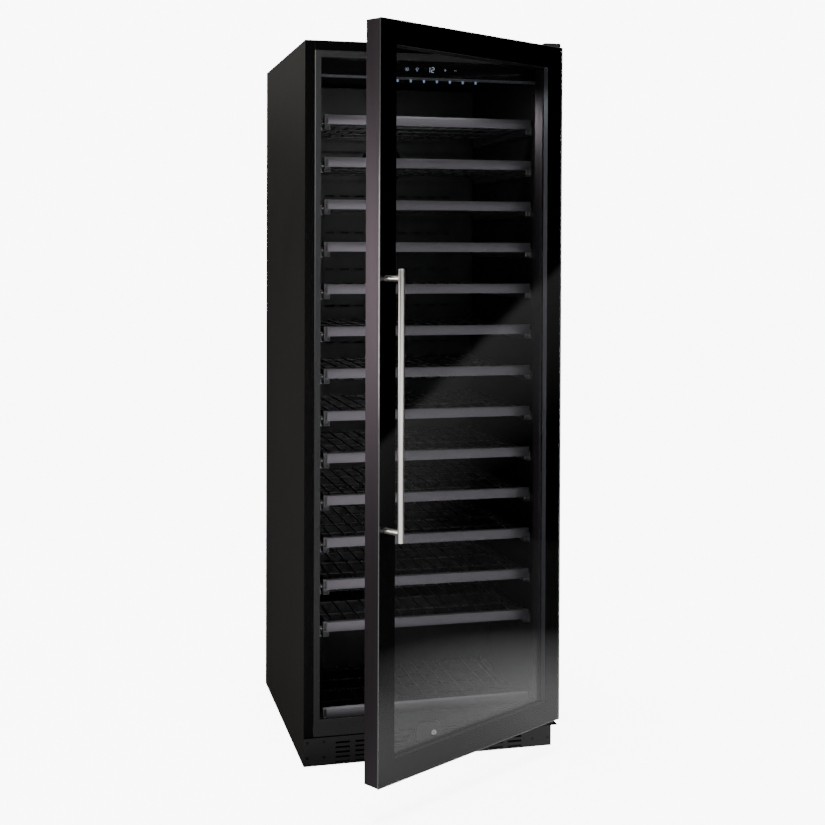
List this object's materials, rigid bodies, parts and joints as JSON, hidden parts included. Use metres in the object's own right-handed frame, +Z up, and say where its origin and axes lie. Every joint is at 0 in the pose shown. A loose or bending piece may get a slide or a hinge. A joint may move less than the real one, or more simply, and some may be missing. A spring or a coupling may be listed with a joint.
{
  "type": "wine cooler",
  "caption": "Tall upright wine cooler with a hinged double-glazed door, round bar handle, sliding wire shelves, touch control panel and vented plinth.",
  "frame": {"origin": "middle of the cabinet's front plane, on the floor", "axes": "+X to the right seen from the front, +Y to the back, +Z up"},
  "size_m": [0.6013, 1.0023, 1.661],
  "materials": {
    "shell_paint": "satin black powder coat",
    "galvanised": "plain zinc-coated sheet",
    "liner_plastic": "fine-grained black moulding",
    "foam": "rigid foam, stands in for polyurethane",
    "grille_paint": "satin dark grey powder coat",
    "dark_screw": "blackened screw",
    "panel_gloss": "gloss black",
    "lamp_lens": "frosted lens",
    "lamp_bar": "pale diffuser",
    "strip_metal": "brushed dark anodised",
    "zinc": "bright zinc",
    "tube_aluminium": "drawn tube",
    "copper": "drawn copper",
    "compressor_black": "black enamel",
    "rubber_black": "soft rubber",
    "fan_plastic": "moulded plastic",
    "frame_metal": "dark anodised, brushed",
    "door_glass": "toughened, black printed border",
    "clear_glass": "clear",
    "stainless": "satin brushed along its length",
    "lock_metal": "bright plated",
    "bush_plastic": "nylon",
    "inlet_plastic": "moulded"
  },
  "bodies": {
    "cabinet": {"side_panel_left": "shell_paint", "side_panel_right": "shell_paint", "top_panel": "shell_paint", "back_panel": "galvanised", "rear_grille": "galvanised", "mains_inlet": "inlet_plastic", "base_pan": "galvanised", "insulation_foam": "foam", "inner_liner": "liner_plastic", "lower_fascia": "grille_paint", "plinth_grille": "grille_paint", "plinth_screws": "dark_screw", "control_panel": "panel_gloss", "display_window": "panel_gloss", "lamp_bar": "lamp_bar", "lamp_lenses": "lamp_lens", "duct_cover": "liner_plastic", "evaporator": "tube_aluminium", "circulation_fan_frame": "fan_plastic", "wall_rails": "zinc", "bottom_shelf": "strip_metal", "compressor": "compressor_black", "compressor_mounts": "rubber_black", "condenser": "tube_aluminium", "condenser_fan_frame": "fan_plastic", "drip_tray": "liner_plastic", "filter_drier": "copper", "top_hinge": "zinc", "hinge_cover": "fan_plastic", "bottom_hinge": "dark_screw", "lock_housing": "fan_plastic"},
    "door": {"door_frame": "frame_metal", "door_outer_glass": "door_glass", "door_inner_glass": "clear_glass", "glass_spacer": "frame_metal", "door_gasket": "rubber_black", "handle_bar": "stainless", "handle_posts": "stainless", "handle_screws": "zinc", "hinge_bushes": "bush_plastic"},
    "lock": {"lock_barrel": "lock_metal"},
    "circulation_fan": {"circulation_fan_rotor": "fan_plastic"},
    "condenser_fan": {"condenser_fan_rotor": "fan_plastic"},
    "front_left_foot": {"foot_front_left": "fan_plastic"},
    "front_right_foot": {"foot_front_right": "fan_plastic"},
    "rear_left_foot": {"foot_rear_left": "fan_plastic"},
    "rear_right_foot": {"foot_rear_right": "fan_plastic"},
    "sliding_shelf_01": {"shelf_01": "strip_metal"},
    "sliding_shelf_02": {"shelf_02": "strip_metal"},
    "sliding_shelf_03": {"shelf_03": "strip_metal"},
    "sliding_shelf_04": {"shelf_04": "strip_metal"},
    "sliding_shelf_05": {"shelf_05": "strip_metal"},
    "sliding_shelf_06": {"shelf_06": "strip_metal"},
    "sliding_shelf_07": {"shelf_07": "strip_metal"},
    "sliding_shelf_08": {"shelf_08": "strip_metal"},
    "sliding_shelf_09": {"shelf_09": "strip_metal"},
    "sliding_shelf_10": {"shelf_10": "strip_metal"},
    "sliding_shelf_11": {"shelf_11": "strip_metal"},
    "sliding_shelf_12": {"shelf_12": "strip_metal"},
    "sliding_shelf_13": {"shelf_13": "strip_metal"}
  },
  "joints": [
    {"name": "door_hinge", "type": "hinge", "parent": "cabinet", "child": "door", "pos_m": [0.2827, -0.0329, 0.865], "axis": [0, 0, 1], "range_deg": [-31.4, 73.6]},
    {"name": "shelf_slide_01", "type": "slide", "parent": "cabinet", "child": "sliding_shelf_01", "axis": [0, -1, 0], "range_m": [0, 0.05]},
    {"name": "shelf_slide_02", "type": "slide", "parent": "cabinet", "child": "sliding_shelf_02", "axis": [0, -1, 0], "range_m": [0, 0.05]},
    {"name": "shelf_slide_03", "type": "slide", "parent": "cabinet", "child": "sliding_shelf_03", "axis": [0, -1, 0], "range_m": [0, 0.05]},
    {"name": "shelf_slide_04", "type": "slide", "parent": "cabinet", "child": "sliding_shelf_04", "axis": [0, -1, 0], "range_m": [0, 0.05]},
    {"name": "shelf_slide_05", "type": "slide", "parent": "cabinet", "child": "sliding_shelf_05", "axis": [0, -1, 0], "range_m": [0, 0.05]},
    {"name": "shelf_slide_06", "type": "slide", "parent": "cabinet", "child": "sliding_shelf_06", "axis": [0, -1, 0], "range_m": [0, 0.05]},
    {"name": "shelf_slide_07", "type": "slide", "parent": "cabinet", "child": "sliding_shelf_07", "axis": [0, -1, 0], "range_m": [0, 0.05]},
    {"name": "shelf_slide_08", "type": "slide", "parent": "cabinet", "child": "sliding_shelf_08", "axis": [0, -1, 0], "range_m": [0, 0.05]},
    {"name": "shelf_slide_09", "type": "slide", "parent": "cabinet", "child": "sliding_shelf_09", "axis": [0, -1, 0], "range_m": [0, 0.05]},
    {"name": "shelf_slide_10", "type": "slide", "parent": "cabinet", "child": "sliding_shelf_10", "axis": [0, -1, 0], "range_m": [0, 0.05]},
    {"name": "shelf_slide_11", "type": "slide", "parent": "cabinet", "child": "sliding_shelf_11", "axis": [0, -1, 0], "range_m": [0, 0.05]},
    {"name": "shelf_slide_12", "type": "slide", "parent": "cabinet", "child": "sliding_shelf_12", "axis": [0, -1, 0], "range_m": [0, 0.05]},
    {"name": "shelf_slide_13", "type": "slide", "parent": "cabinet", "child": "sliding_shelf_13", "axis": [0, -1, 0], "range_m": [0, 0.05]},
    {"name": "lock_turn", "type": "hinge", "parent": "cabinet", "child": "lock", "pos_m": [0.0076, 0, 0.06], "axis": [0, 1, 0], "range_deg": [0, 90]},
    {"name": "circulation_fan_spin", "type": "hinge", "parent": "cabinet", "child": "circulation_fan", "pos_m": [0, 0.5435, 1.4055], "axis": [0, 1, 0], "continuous": true},
    {"name": "condenser_fan_spin", "type": "hinge", "parent": "cabinet", "child": "condenser_fan", "pos_m": [0.16, 0.5387, 0.0992], "axis": [0, 1, 0], "continuous": true},
    {"name": "front_left_foot_turn", "type": "hinge", "parent": "cabinet", "child": "front_left_foot", "pos_m": [-0.2495, 0.048, 0], "axis": [0, 0, 1], "continuous": true},
    {"name": "front_right_foot_turn", "type": "hinge", "parent": "cabinet", "child": "front_right_foot", "pos_m": [0.2495, 0.048, 0], "axis": [0, 0, 1], "continuous": true},
    {"name": "rear_left_foot_turn", "type": "hinge", "parent": "cabinet", "child": "rear_left_foot", "pos_m": [-0.2495, 0.569, 0], "axis": [0, 0, 1], "continuous": true},
    {"name": "rear_right_foot_turn", "type": "hinge", "parent": "cabinet", "child": "rear_right_foot", "pos_m": [0.2495, 0.569, 0], "axis": [0, 0, 1], "continuous": true}
  ]
}
